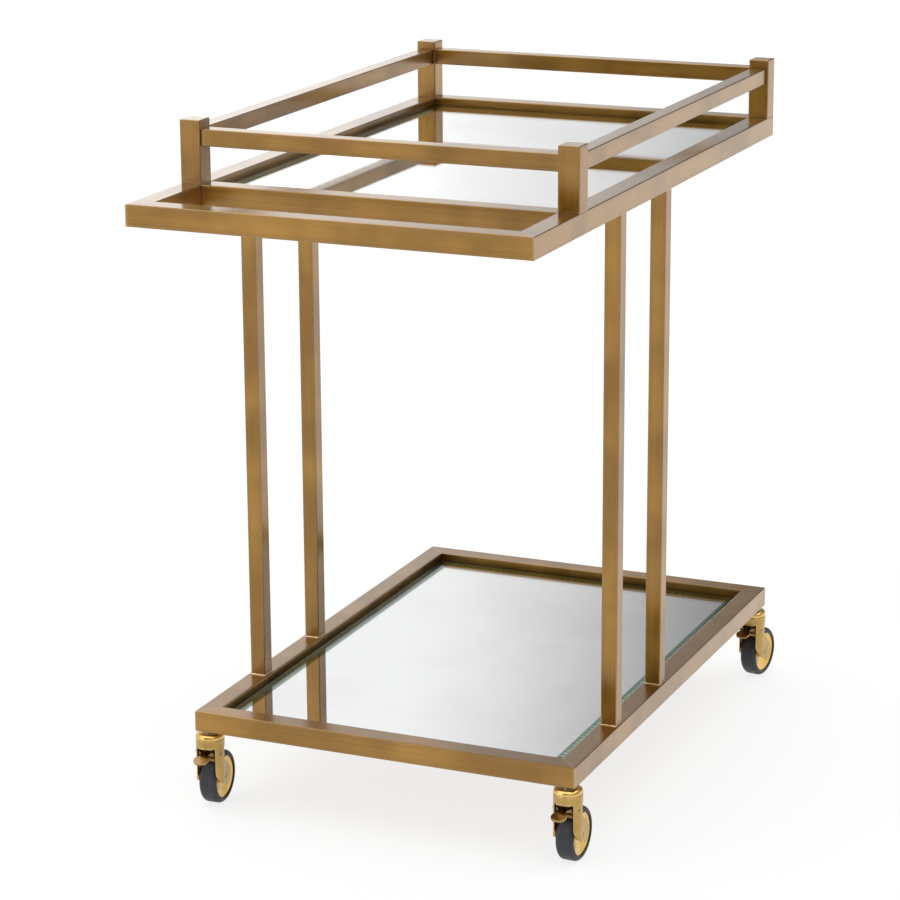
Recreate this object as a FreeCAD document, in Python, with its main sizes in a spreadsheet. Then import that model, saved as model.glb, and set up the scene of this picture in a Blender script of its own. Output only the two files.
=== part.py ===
import FreeCAD, Part
import math
import os
import re
import Sketcher
from FreeCAD import Placement, Rotation, Vector

# Dessert trolley: two mirror shelves in a square tube frame, on four braked swivel casters.
# Millimetres, +Z up, push handle at -Y, +X to the right of someone facing the handle.
# The origin is on the floor, under the middle of the whole trolley.

doc = FreeCAD.newDocument("dessert_trolley")

# name, millimetres or degrees, what it is
SIZES = [
    ("trolley_width", 475, "outer width of both frames"),
    ("top_depth", 805, "handle front to the back of the top frame"),
    ("tube", 25, "square tube of both frames and the posts"),
    ("tube_wall", 1.5, "wall of every tube"),
    ("edge_round", 1.2, "outer corner radius of the tubes"),
    ("handle_reach", 128.5, "handle front to the front of the tray posts"),
    ("shelf_pitch", 624, "top of the lower frame to the top of the top frame"),
    ("lower_front", 124, "handle front to the front of the lower frame"),
    ("lower_depth", 693, "depth of the lower frame"),
    ("post_height", 72, "tray posts above the top frame"),
    ("post_cap", 2, "closed top of a tray post"),
    ("thin_tube", 19, "square tube of the gallery rails and the columns"),
    ("rail_drop", 10, "post top down to the rail top"),
    ("front_column", 273, "handle front to the middle of the front columns"),
    ("column_pitch", 149.5, "front column to back column"),
    ("mirror_recess", 9, "frame top down to the mirror face"),
    ("mirror_glass", 5, "glass thickness"),
    ("mirror_gap", 0.5, "glass edge to tube"),
    ("bevel_width", 10, "ground bevel round the glass"),
    ("bevel_depth", 1.6, "fall of the bevel"),
    ("panel_sheet", 1.5, "panel that carries the glass, of the same gauge as the tubes"),
    ("caster_height", 96, "floor to the underside of the lower frame"),
    ("stem_inset", 12.5, "frame faces in to a caster stem"),
    ("front_left_turn", 3, "how far the front left caster stands turned"),
    ("front_right_turn", -2, "how far the front right caster stands turned"),
    ("back_toe_out", 9, "how far the back casters stand turned outwards"),
    ("trail", 17, "stem back to the wheel axle"),
    ("axle_drop", 64.5, "frame underside down to the wheel axle"),
    ("stem_radius", 5, "stem and king pin"),
    ("stem_reach", 16, "stem above the frame underside"),
    ("stem_hole_play", 0.3, "stem hole in the tube"),
    ("collar_radius", 6.5, "shoulder of the stem under the frame"),
    ("collar_height", 3, "shoulder height"),
    ("nut_flats", 16, "nut inside the tube, across its flats"),
    ("nut_height", 6, "nut height"),
    ("running_fit", 0.05, "radial play of every turning fit"),
    ("turning_gap", 0.3, "axial play between parts that turn"),
    ("head_radius", 17, "dome cap and fork head"),
    ("cap_foot", 9.4, "frame underside down to the foot of the dome cap"),
    ("cap_wall", 1.4, "sheet of the dome cap"),
    ("cap_round", 4.5, "rounded shoulder of the dome cap"),
    ("cap_mouth", 5.6, "opening in the crown, hidden under the stem shoulder"),
    ("cap_spigot", 0.5, "spigot that seats the cap on the fork"),
    ("spigot_inset", 0.8, "spigot inside the head radius"),
    ("fork_sheet", 2, "sheet of the fork"),
    ("head_bottom", 20, "frame underside down to the lower edge of the fork head"),
    ("window_width", 23.4, "front window between the legs, above the wheel"),
    ("leg_gap", 23, "clear width between the legs, beside the wheel"),
    ("bend_start", 2, "stem back to where the sides of the fork bend in"),
    ("bend_end", 9, "stem back to where they run straight beside the wheel"),
    ("bend_round", 4, "radius of those bends"),
    ("leg_nose", 13, "stem forward to the front edge of a leg"),
    ("nose_bottom", 60, "frame underside down to the corner of the front edge, before its rounding"),
    ("nose_round", 24, "sweep of the front edge towards the axle"),
    ("leg_root", 5, "stem back to the back edge of a leg under the head"),
    ("root_bottom", 34, "frame underside down to where the back edge slants out"),
    ("leg_shoulder", 55, "frame underside down to the back shoulder of a leg"),
    ("shoulder_round", 6, "rounding of the back edge"),
    ("leg_end_radius", 9.5, "round end of a leg about the axle"),
    ("lip_reach", 0.8, "rolled lip over the front window"),
    ("lip_height", 1.4, "rolled lip height"),
    ("lip_sweep", 62, "rolled lip angle about the stem"),
    ("bush_radius", 8, "swivel bush in the fork head"),
    ("bush_flange_radius", 11, "bush flange"),
    ("bush_flange", 1.5, "bush flange thickness"),
    ("bush_reach", 2, "bush below the head plate"),
    ("rivet_radius", 8.5, "head of the king pin"),
    ("rivet_height", 2.6, "head of the king pin"),
    ("axle_radius", 4, "wheel axle"),
    ("axle_head_radius", 5, "axle head"),
    ("axle_head", 0.4, "axle head thickness"),
    ("wheel_radius", 31.5, "tyre outside"),
    ("tyre_width", 21.3, "tyre width"),
    ("tyre_round", 5, "tyre shoulder radius"),
    ("rim_radius", 25, "hub under the tyre"),
    ("tyre_play", 0.02, "tyre bore over the hub"),
    ("rim_width", 18.8, "hub width at the rim"),
    ("rim_lip", 2, "flat lip round the dished face"),
    ("dish_radius", 13, "foot of the dished face"),
    ("dish_depth", 3, "fall of the dished face"),
    ("boss_radius", 8, "hub boss"),
    ("pivot_forward", 6, "stem forward to the brake pivot"),
    ("pivot_drop", 27, "frame underside down to the brake pivot"),
    ("pivot_radius", 1.8, "trunnion of the brake lever"),
    ("barrel_radius", 4, "barrel of the brake lever"),
    ("lever_width", 18, "brake lever width"),
    ("lobe_radius", 4.5, "brake lobe"),
    ("brake_travel", 20, "angle from free to braked"),
    ("brake_gap", 0.3, "lobe to tyre when braked"),
    ("tab_knee", 20, "stem forward to the bend of the tab"),
    ("tab_knee_drop", 29, "frame underside down to the bend of the tab"),
    ("tab_reach", 34, "stem forward to the tip of the tab"),
    ("tab_tip_drop", 33, "frame underside down to the tip of the tab"),
    ("tab_sheet", 2, "tab thickness"),
    ("tab_corner", 7, "corner radius of the tab"),
    ("tab_neck", 10, "tab between its two scoops"),
    ("scoop_radius", 6, "scoop in each side of the tab"),
    ("scoop_forward", 18, "stem forward to the middle of the scoops"),
]

sizes = doc.addObject("Spreadsheet::Sheet", "sizes")
for row, (name, number, note) in enumerate(SIZES, start=1):
    sizes.set("A%d" % row, name)
    sizes.set("B%d" % row, str(number))
    sizes.set("C%d" % row, note)
    sizes.setAlias("B%d" % row, name)
doc.recompute()

NAMES = {row[0] for row in SIZES}
SAME = 1e-6  # lengths nearer to each other than this are equal


def with_sheet(text):
    """Put the sheet's name before each size named in an expression."""
    return re.sub(r"\b[a-z_]+\b", lambda m: "sizes." + m[0] if m[0] in NAMES else m[0], text)


def value(text):
    return float(sizes.evalExpression(with_sheet(text)))


def bind(thing, target, text):
    thing.setExpression(target, with_sheet(text))


# ---- lines that several pieces share ---------------------------------------------------------

TOP_OF_LOWER = "(caster_height + tube)"
TOP_OF_TOP = "(caster_height + tube + shelf_pitch)"
HALF_WIDTH = "(trolley_width / 2)"
LOWER_BACK = "(lower_front + lower_depth)"
# the back tyres stand turned outwards, and their rounded shoulders reach furthest back
TOE = "(back_toe_out * 1deg)"
TYRE_BACK = (
    "(trail * cos(" + TOE + ") + (wheel_radius - tyre_round) * cos(" + TOE + ")"
    " + (tyre_width / 2 - tyre_round) * sin(" + TOE + ") + tyre_round)"
)
FRONT = "(-(" + LOWER_BACK + " - stem_inset + " + TYRE_BACK + ") / 2)"
POST_MIDDLE = "(handle_reach + tube / 2)"
BACK_POST_MIDDLE = "(top_depth - tube / 2)"
TUBE_MIDDLE_X = "(" + HALF_WIDTH + " - tube / 2)"
RAIL_MIDDLE_Z = "(" + TOP_OF_TOP + " + post_height - rail_drop - thin_tube / 2)"


# ---- sketch and feature helpers --------------------------------------------------------------

def new_body(label):
    body = doc.addObject("PartDesign::Body", "Body")
    body.Label = label
    return body


def new_sketch(body, role, name, offset=None):
    """A sketch on one of the body's own origin planes, moved by bound distances."""
    plane = [item for item in body.Origin.OriginFeatures if item.Role == role][0]
    sketch = body.newObject("Sketcher::SketchObject", name)
    sketch.AttachmentSupport = (plane, [""])
    sketch.MapMode = "FlatFace"
    for axis, text in (offset or {}).items():
        bind(sketch, ".AttachmentOffset.Base." + axis, text)
    return sketch


def pin_point(sketch, curve, end, x_text, y_text):
    for kind, text in (("DistanceX", x_text), ("DistanceY", y_text)):
        rule = sketch.addConstraint(Sketcher.Constraint(kind, -1, 1, curve, end, value(text)))
        bind(sketch, "Constraints[%d]" % rule, text)


def add_outline(sketch, corners):
    """A closed outline of straight lines; each corner is a pair of bound distances."""
    spots = [Vector(value(x), value(y), 0) for x, y in corners]
    lines = []
    for index, spot in enumerate(spots):
        following = spots[(index + 1) % len(spots)]
        lines.append(sketch.addGeometry(Part.LineSegment(spot, following), False))
    for index, line in enumerate(lines):
        following = lines[(index + 1) % len(lines)]
        sketch.addConstraint(Sketcher.Constraint("Coincident", line, 2, following, 1))
        pin_point(sketch, line, 1, *corners[index])
    return lines


def add_rectangle(sketch, left, right, low, high):
    return add_outline(sketch, [(left, low), (right, low), (right, high), (left, high)])


def add_circle(sketch, x_text, y_text, radius_text):
    middle = Vector(value(x_text), value(y_text), 0)
    circle = sketch.addGeometry(Part.Circle(middle, Vector(0, 0, 1), value(radius_text)), False)
    rule = sketch.addConstraint(Sketcher.Constraint("Radius", circle, value(radius_text)))
    bind(sketch, "Constraints[%d]" % rule, radius_text)
    pin_point(sketch, circle, 3, x_text, y_text)


def add_feature(body, kind, profile, **settings):
    feature = body.newObject("PartDesign::" + kind, kind)
    feature.Profile = profile
    for name, setting in settings.items():
        if isinstance(setting, str) and not name.endswith("Type"):
            bind(feature, name, setting)
        else:
            setattr(feature, name, setting)
    profile.Visibility = False
    doc.recompute()
    return feature


def pad(body, profile, length, **settings):
    return add_feature(body, "Pad", profile, Length=length, **settings)


def pocket(body, profile, **settings):
    """A cut that has to remove something."""
    before = body.Shape.Volume
    feature = add_feature(body, "Pocket", profile, **settings)
    if not body.Shape.Volume < before:
        raise RuntimeError(body.Label + ": a pocket cuts nothing")
    return feature


def cut_through(body, profile):
    """A pocket through everything, to both sides of its sketch."""
    return pocket(body, profile, Type=1, SideType="Symmetric")


def cut_up(body, profile, length):
    """A pocket that rises from its sketch."""
    return pocket(body, profile, Length=length, Reversed=True)


def turn(body, profile, axis, angle=360, **settings):
    """A solid of revolution about an axis of its own sketch."""
    feature = body.newObject("PartDesign::Revolution", "Revolution")
    feature.Profile = profile
    feature.ReferenceAxis = (profile, [axis])
    for name, setting in settings.items():
        setattr(feature, name, setting)
    if isinstance(angle, str):
        bind(feature, "Angle", angle)
    else:
        feature.Angle = angle
    doc.recompute()
    return feature


def round_edges(body, radius, wanted):
    """Fillet the edges of the last feature that pass the test."""
    doc.recompute()
    last = body.Tip
    names = ["Edge%d" % (index + 1) for index, edge in enumerate(last.Shape.Edges) if wanted(edge)]
    fillet = body.newObject("PartDesign::Fillet", "Fillet")
    fillet.Base = (last, names)
    bind(fillet, "Radius", radius)
    doc.recompute()
    return fillet


def runs_along(axis):
    """A test for straight edges along one axis."""
    def test(edge):
        if not isinstance(edge.Curve, Part.Line):
            return False
        return abs(abs(edge.Curve.Direction.dot(axis)) - 1) < SAME
    return test


def ring_at(radius_text, z_text):
    """A test for round edges about the Z axis, of one radius at one height."""
    radius = value(radius_text)
    height = value(z_text)

    def test(edge):
        if not isinstance(edge.Curve, Part.Circle):
            return False
        return abs(edge.Curve.Radius - radius) < SAME and abs(edge.Curve.Center.z - height) < SAME
    return test


def seat(thing, x_text="0", y_text="0", z_text="0", angle=None):
    """Place a piece; its distances from the handle front are measured towards +Y."""
    bind(thing, "Placement.Base.x", x_text)
    bind(thing, "Placement.Base.y", FRONT + " + " + y_text)
    bind(thing, "Placement.Base.z", z_text)
    if angle:
        bind(thing, "Placement.Rotation.Angle", "(" + angle + ") * 1deg")


# ---- frame tubes -----------------------------------------------------------------------------

def mitred_tube(label, length, stem_holes=False):
    """A hollow tube along X, mitred at both ends, with its outer side on y = 0."""
    body = new_body(label)
    end = "(" + length + ") / 2"
    plan = new_sketch(body, "XY_Plane", "plan")
    add_outline(plan, [
        ("-" + end, "0"), (end, "0"), (end + " - tube", "tube"), ("-" + end + " + tube", "tube"),
    ])
    pad(body, plan, "tube")
    round_edges(body, "edge_round", runs_along(Vector(1, 0, 0)))
    bore = new_sketch(body, "YZ_Plane", "bore")
    add_rectangle(bore, "tube_wall", "tube - tube_wall", "tube_wall", "tube - tube_wall")
    cut_through(body, bore)
    if stem_holes:
        holes = new_sketch(body, "XY_Plane", "stem_holes")
        for side in ("-(" + end + " - stem_inset)", end + " - stem_inset"):
            add_circle(holes, side, "stem_inset", "stem_radius + stem_hole_play")
        cut_up(body, holes, "tube_wall")
    return body


def straight_tube(label, section, length, along):
    """A hollow square tube that starts at the origin and runs along one axis."""
    body = new_body(label)
    ring = new_sketch(body, "XY_Plane", "section")
    half = section + " / 2"
    inner = "(" + half + " - tube_wall)"
    add_rectangle(ring, "-" + half, half, "-" + half, half)
    add_rectangle(ring, "-" + inner, inner, "-" + inner, inner)
    pad(body, ring, length)
    reach = value(half)

    def outer_corner(edge):
        spot = edge.CenterOfMass
        return runs_along(Vector(0, 0, 1))(edge) and abs(abs(spot.x) - reach) < SAME
    round_edges(body, "edge_round", outer_corner)
    body.Placement = Placement(Vector(), Rotation(Vector(0, 0, 1), along))
    return body


def tray_post(label):
    """A short hollow post with a closed top."""
    body = new_body(label)
    square = new_sketch(body, "XY_Plane", "section")
    add_rectangle(square, "-tube / 2", "tube / 2", "-tube / 2", "tube / 2")
    pad(body, square, "post_height")
    round_edges(body, "edge_round", lambda edge: edge.CenterOfMass.z > SAME)
    hollow = new_sketch(body, "XY_Plane", "hollow")
    inner = "(tube / 2 - tube_wall)"
    add_rectangle(hollow, "-" + inner, inner, "-" + inner, inner)
    cut_up(body, hollow, "post_height - post_cap")
    return body


def top_frame():
    """Two side tubes, the handle bar, the cross bar under the front posts and the back bar."""
    middle = "top_depth / 2"
    floor = TOP_OF_TOP + " - tube"
    pieces = []
    for side, sign, angle in (("left", "-", "-90"), ("right", "", "90")):
        piece = mitred_tube("top_side_tube_" + side, "top_depth")
        seat(piece, sign + HALF_WIDTH, middle, floor, angle)
        pieces.append(piece)
    handle = mitred_tube("handle_bar", "trolley_width")
    seat(handle, "0", "0", floor)
    back = mitred_tube("top_back_bar", "trolley_width")
    seat(back, "0", "top_depth", floor, "180")
    cross = straight_tube("cross_bar", "tube", "trolley_width - 2 * tube", Vector(1, 0, 0))
    seat(cross, "-(" + HALF_WIDTH + " - tube)", POST_MIDDLE, floor + " + tube / 2")
    return pieces + [handle, back, cross]


def lower_frame():
    """Four mitred tubes; a caster stem passes through the underside of each corner."""
    middle = "lower_front + lower_depth / 2"
    pieces = []
    for side, sign, angle in (("left", "-", "-90"), ("right", "", "90")):
        piece = mitred_tube("lower_side_tube_" + side, "lower_depth", True)
        seat(piece, sign + HALF_WIDTH, middle, "caster_height", angle)
        pieces.append(piece)
    front = mitred_tube("lower_front_bar", "trolley_width", True)
    seat(front, "0", "lower_front", "caster_height")
    back = mitred_tube("lower_back_bar", "trolley_width", True)
    seat(back, "0", LOWER_BACK, "caster_height", "180")
    return pieces + [front, back]


def gallery():
    """Four posts on the top frame, with a rail between each two."""
    pieces = []
    for row, y_text in (("front", POST_MIDDLE), ("back", BACK_POST_MIDDLE)):
        for side, sign in (("left", "-"), ("right", "")):
            post = tray_post("post_" + row + "_" + side)
            seat(post, sign + TUBE_MIDDLE_X, y_text, TOP_OF_TOP)
            pieces.append(post)
        rail = straight_tube("rail_" + row, "thin_tube", "trolley_width - 2 * tube", Vector(1, 0, 0))
        seat(rail, "-(" + HALF_WIDTH + " - tube)", y_text, RAIL_MIDDLE_Z)
        pieces.append(rail)
    span = BACK_POST_MIDDLE + " - " + POST_MIDDLE + " - tube"
    for side, sign in (("left", "-"), ("right", "")):
        rail = straight_tube("rail_" + side, "thin_tube", span, Vector(0, 1, 0))
        seat(rail, sign + TUBE_MIDDLE_X, POST_MIDDLE + " + tube / 2", RAIL_MIDDLE_Z)
        pieces.append(rail)
    return pieces


def columns():
    """Two columns on each side carry the top frame, nearer to the handle end."""
    pieces = []
    for row, y_text in (("front", "front_column"), ("back", "front_column + column_pitch")):
        for side, sign in (("left", "-"), ("right", "")):
            column = straight_tube("column_" + row + "_" + side, "thin_tube",
                                   "shelf_pitch - tube", Vector(0, 0, 1))
            seat(column, sign + TUBE_MIDDLE_X, y_text, TOP_OF_LOWER)
            pieces.append(column)
    return pieces


# ---- shelves ---------------------------------------------------------------------------------

def mirror(label, width, depth):
    """A glass pane, silvered below, with a ground bevel all round its upper face."""
    body = new_body(label)
    half_x = "((" + width + ") / 2 - mirror_gap)"
    half_y = "((" + depth + ") / 2 - mirror_gap)"
    pane = new_sketch(body, "XY_Plane", "pane")
    add_rectangle(pane, "-" + half_x, half_x, "-" + half_y, half_y)
    pad(body, pane, "mirror_glass - bevel_depth")
    foot = new_sketch(body, "XY_Plane", "bevel_foot", {"z": "mirror_glass - bevel_depth"})
    add_rectangle(foot, "-" + half_x, half_x, "-" + half_y, half_y)
    face = new_sketch(body, "XY_Plane", "bevel_top", {"z": "mirror_glass"})
    inner_x = "(" + half_x + " - bevel_width)"
    inner_y = "(" + half_y + " - bevel_width)"
    add_rectangle(face, "-" + inner_x, inner_x, "-" + inner_y, inner_y)
    bevel = body.newObject("PartDesign::AdditiveLoft", "Bevel")
    bevel.Profile = foot
    bevel.Sections = [face]
    bevel.Ruled = True
    doc.recompute()
    return body


def panel(label, width, depth):
    """The sheet under a mirror, welded between the tubes."""
    body = new_body(label)
    half_x = "(" + width + ") / 2"
    half_y = "(" + depth + ") / 2"
    sheet = new_sketch(body, "XY_Plane", "sheet")
    add_rectangle(sheet, "-" + half_x, half_x, "-" + half_y, half_y)
    pad(body, sheet, "panel_sheet")
    return body


def shelves():
    """Each frame holds a panel and the mirror that lies on it, below the tube tops."""
    pieces = []
    width = "trolley_width - 2 * tube"
    tray_front = "(handle_reach + tube)"
    tray_depth = "(top_depth - tube - " + tray_front + ")"
    shelf_front = "(lower_front + tube)"
    shelf_depth = "(lower_depth - 2 * tube)"
    for name, front, depth, level in (
        ("top", tray_front, tray_depth, TOP_OF_TOP),
        ("lower", shelf_front, shelf_depth, TOP_OF_LOWER),
    ):
        middle = front + " + " + depth + " / 2"
        pane = mirror(name + "_mirror", width, depth)
        seat(pane, "0", middle, level + " - mirror_recess - mirror_glass")
        sheet = panel(name + "_panel", width, depth)
        seat(sheet, "0", middle, level + " - mirror_recess - mirror_glass - panel_sheet")
        pieces += [pane, sheet]
    return pieces


# ---- casters: the stem is the origin, z = 0 is the underside of the frame ----------------------

HEAD_TOP = "(cap_foot + cap_spigot)"
PLATE_UNDER = "(" + HEAD_TOP + " + fork_sheet)"
BUSH_TOP = "(" + HEAD_TOP + " - bush_flange)"
BUSH_FOOT = "(" + PLATE_UNDER + " + bush_reach)"
RIVET_TOP = "(" + BUSH_FOOT + " + turning_gap)"
FORK_BORE = "(stem_radius + running_fit)"


def turned(label, half_section, role="XZ_Plane", axis="V_Axis", offset=None):
    """A round piece from its half section, a ring of corners beside the axis."""
    body = new_body(label)
    section = new_sketch(body, role, "half_section", offset)
    add_outline(section, half_section)
    turn(body, section, axis)
    return body


def caster_stem(label):
    """Threaded stem, shoulder and king pin in one, with the nut inside the frame corner."""
    body = turned(label, [
        ("0", "stem_reach"), ("stem_radius", "stem_reach"), ("stem_radius", "0"),
        ("collar_radius", "0"), ("collar_radius", "-collar_height"),
        ("stem_radius", "-collar_height"), ("stem_radius", "-" + RIVET_TOP),
        ("rivet_radius", "-" + RIVET_TOP), ("rivet_radius", "-" + RIVET_TOP + " - rivet_height / 2"),
        ("rivet_radius / 2", "-" + RIVET_TOP + " - rivet_height"),
        ("0", "-" + RIVET_TOP + " - rivet_height"),
    ])
    hexagon = new_sketch(body, "XY_Plane", "nut", {"z": "tube_wall"})
    corner = "nut_flats / sqrt(3)"
    add_outline(hexagon, [
        (corner, "0"), (corner + " / 2", "nut_flats / 2"), ("-" + corner + " / 2", "nut_flats / 2"),
        ("-" + corner, "0"), ("-" + corner + " / 2", "-nut_flats / 2"),
        (corner + " / 2", "-nut_flats / 2"),
    ])
    pad(body, hexagon, "nut_height")
    return body


def dome_cap(label):
    """Spun cap over the swivel bush; a short spigot seats it on the fork head."""
    crown = "(collar_height + turning_gap)"
    under = "(" + crown + " + cap_wall)"
    spigot = "(head_radius - spigot_inset)"
    inside = "(head_radius - spigot_inset - cap_wall)"
    body = turned(label, [
        ("cap_mouth", "-" + crown), ("head_radius", "-" + crown), ("head_radius", "-cap_foot"),
        (spigot, "-cap_foot"), (spigot, "-" + HEAD_TOP), (inside, "-" + HEAD_TOP),
        (inside, "-" + under), ("cap_mouth", "-" + under),
    ])
    round_edges(body, "cap_round", ring_at("head_radius", "-" + crown))
    round_edges(body, "cap_round - cap_wall", ring_at(inside, "-" + under))
    return body


def swivel_bush(label):
    """Flanged bush in the fork head; the fork hangs and turns on the king pin through it."""
    return turned(label, [
        (FORK_BORE, "-" + BUSH_TOP), ("bush_flange_radius", "-" + BUSH_TOP),
        ("bush_flange_radius", "-" + HEAD_TOP), ("bush_radius", "-" + HEAD_TOP),
        ("bush_radius", "-" + BUSH_FOOT), (FORK_BORE, "-" + BUSH_FOOT),
    ])


def common(label, *parts):
    """What several solids have in common."""
    joint = doc.addObject("Part::MultiCommon", "Common")
    joint.Label = label
    joint.Shapes = list(parts)
    return joint


def difference(label, base, tool):
    cut = doc.addObject("Part::Cut", "Cut")
    cut.Label = label
    cut.Base = base
    cut.Tool = tool
    return cut


def union(label, *parts):
    joint = doc.addObject("Part::MultiFuse", "Fusion")
    joint.Label = label
    joint.Shapes = list(parts)
    return joint


LEG_FOOT = "(axle_drop + leg_end_radius)"
LEG_BACK = "(trail + leg_end_radius)"
LEG_INNER = "(leg_gap / 2)"
LEG_OUTER = "(leg_gap / 2 + fork_sheet)"
HALF_WINDOW = "(window_width / 2)"
# long enough for an outline to run past the fork on every side
PAST_FORK = "(4 * head_radius)"


def hood_plan(label, radius, side):
    """The fork seen from above: half round in front, sides that bend in beside the wheel."""
    body = new_body(label)
    sketch = new_sketch(body, "XY_Plane", "plan", {"z": "-head_bottom"})
    half = [(radius, "0"), (radius, "bend_start"), (side, "bend_end"), (side, LEG_BACK)]
    corners = half + [("-" + x, y) for x, y in reversed(half)]
    circle = Part.Circle(Vector(), Vector(0, 0, 1), value(radius))
    arc = sketch.addGeometry(Part.ArcOfCircle(circle, math.pi, 2 * math.pi), False)
    spots = [Vector(value(x), value(y)) for x, y in corners]
    lines = []
    for start, end in zip(spots, spots[1:]):
        lines.append(sketch.addGeometry(Part.LineSegment(start, end), False))
    sketch.addConstraint(Sketcher.Constraint("Coincident", arc, 3, -1, 1))
    ring = [arc] + lines + [arc]
    for first, second in zip(ring, ring[1:]):
        sketch.addConstraint(Sketcher.Constraint("Coincident", first, 2, second, 1))
    for line, corner in zip(lines[:-1], corners):
        pin_point(sketch, line, 1, *corner)
    pin_point(sketch, lines[-1], 1, *corners[-2])
    sketch.addConstraint(Sketcher.Constraint("PointOnObject", arc, 1, -1))
    pad(body, sketch, LEG_FOOT + " - head_bottom", Reversed=True)
    bends = [(value(x), value(y)) for x, y in half[1:3]]

    def bend(edge):
        spot = edge.CenterOfMass
        return runs_along(Vector(0, 0, 1))(edge) and any(
            abs(abs(spot.x) - x) < SAME and abs(spot.y - y) < SAME for x, y in bends)
    round_edges(body, "bend_round", bend)
    return body


def window_block(label):
    """The space of the front window, open in front and below."""
    body = new_body(label)
    sketch = new_sketch(body, "XY_Plane", "plan", {"z": "-head_bottom"})
    add_rectangle(sketch, "-" + HALF_WINDOW, HALF_WINDOW, "-" + PAST_FORK, "0")
    pad(body, sketch, LEG_FOOT + " - head_bottom", Reversed=True)
    return body


def legs_from_side(label):
    """A leg seen from the side, with its swept edges and the holes for the axle and pivot."""
    body = new_body(label)
    sketch = new_sketch(body, "YZ_Plane", "side_view")
    centre = Vector(value("trail"), value("-axle_drop"))
    radius = value("leg_end_radius")
    nose = Vector(value("-leg_nose"), value("-nose_bottom"))
    # the front edge runs from its corner to touch the round end
    way = centre - nose
    touch_angle = math.atan2(way.y, way.x) - math.pi / 2 - math.asin(radius / way.Length)
    touch = centre + Vector(math.cos(touch_angle), math.sin(touch_angle)) * radius
    corners = [
        ("-leg_nose", "-nose_bottom"), ("-leg_nose", "-head_bottom"), ("leg_root", "-head_bottom"),
        ("leg_root", "-root_bottom"), (LEG_BACK, "-leg_shoulder"), (LEG_BACK, "-axle_drop"),
    ]
    spots = [Vector(value(y), value(z)) for y, z in corners]
    lines = []
    for start, end in zip(spots, spots[1:]):
        lines.append(sketch.addGeometry(Part.LineSegment(start, end), False))
    front_edge = sketch.addGeometry(Part.LineSegment(touch, nose), False)
    circle = Part.Circle(centre, Vector(0, 0, 1), radius)
    arc = sketch.addGeometry(Part.ArcOfCircle(circle, touch_angle, 0), False)
    for first, second in zip(lines, lines[1:]):
        sketch.addConstraint(Sketcher.Constraint("Coincident", first, 2, second, 1))
    sketch.addConstraint(Sketcher.Constraint("Coincident", front_edge, 2, lines[0], 1))
    sketch.addConstraint(Sketcher.Constraint("Tangent", arc, 1, front_edge, 1))
    sketch.addConstraint(Sketcher.Constraint("Coincident", lines[-1], 2, arc, 2))
    for line, corner in zip(lines, corners):
        pin_point(sketch, line, 1, *corner)
    pin_point(sketch, lines[-1], 2, *corners[-1])
    pin_point(sketch, arc, 3, "trail", "-axle_drop")
    add_circle(sketch, "trail", "-axle_drop", "axle_radius")
    add_circle(sketch, "-pivot_forward", "-pivot_drop", "pivot_radius + running_fit")
    pad(body, sketch, PAST_FORK, SideType="Symmetric")

    def edge_at(*wanted):
        def test(edge):
            spot = edge.CenterOfMass
            return runs_along(Vector(1, 0, 0))(edge) and any(
                abs(spot.y - item.x) < SAME and abs(spot.z - item.y) < SAME for item in wanted)
        return test
    round_edges(body, "nose_round", edge_at(nose))
    round_edges(body, "shoulder_round", edge_at(spots[3], spots[4]))
    return body


def window_lip(label):
    """The lip rolled outwards over the front window."""
    body = new_body(label)
    sketch = new_sketch(body, "YZ_Plane", "lip")
    root = "(head_radius - fork_sheet / 2)"
    add_rectangle(sketch, "-(head_radius + lip_reach)", "-" + root,
                  "-head_bottom", "-head_bottom + lip_height")
    turn(body, sketch, "V_Axis", "lip_sweep", Midplane=True)
    return body


def fork(label):
    """Pressed fork: a round head, and two legs that leave a window in front for the brake tab."""
    edge = "(fork_sheet / 3)"
    head = turned("fork_head", [
        ("bush_radius", "-" + HEAD_TOP), ("head_radius - " + edge, "-" + HEAD_TOP),
        ("head_radius", "-" + HEAD_TOP + " - " + edge), ("head_radius", "-head_bottom"),
        ("head_radius - fork_sheet", "-head_bottom"), ("head_radius - fork_sheet", "-" + PLATE_UNDER),
        ("bush_radius", "-" + PLATE_UNDER),
    ])
    outside = common("legs_outside", hood_plan("legs_plan", "head_radius", LEG_OUTER),
                     legs_from_side("legs_side"))
    inside = union("legs_inside", hood_plan("hollow_plan", "(head_radius - fork_sheet)", LEG_INNER),
                   window_block("window_block"))
    legs = difference("fork_legs", outside, inside)
    return union(label, head, legs, window_lip("fork_lip"))


def across(label, half_section):
    """A round piece about the wheel axis; corners are (sideways, radius)."""
    offset = {"x": "0", "y": "trail", "z": "-axle_drop"}
    return turned(label, half_section, "XY_Plane", "H_Axis", offset)


def wheel_axle(label):
    """The axle is riveted over both legs."""
    head_out = LEG_OUTER + " + axle_head"
    return across(label, [
        ("-(" + head_out + ")", "0"), ("-(" + head_out + ")", "axle_head_radius - axle_head / 2"),
        ("-" + LEG_OUTER, "axle_head_radius"), ("-" + LEG_OUTER, "axle_radius"),
        (LEG_OUTER, "axle_radius"), (LEG_OUTER, "axle_head_radius"),
        (head_out, "axle_head_radius - axle_head / 2"), (head_out, "0"),
    ])


def wheel_hub(label):
    """Turned hub with a dished face on each side and a boss that keeps it between the legs."""
    bore = "(axle_radius + running_fit)"
    boss = "(leg_gap / 2 - turning_gap)"
    rim = "(rim_width / 2)"
    floor = "(rim_width / 2 - dish_depth)"
    right = [
        (rim, "rim_radius"), (rim, "rim_radius - rim_lip"), (floor, "dish_radius"),
        (floor, "boss_radius"), (boss, "boss_radius"), (boss, bore),
    ]
    left = [("-" + x, radius) for x, radius in reversed(right)]
    return across(label, right + left)


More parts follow.
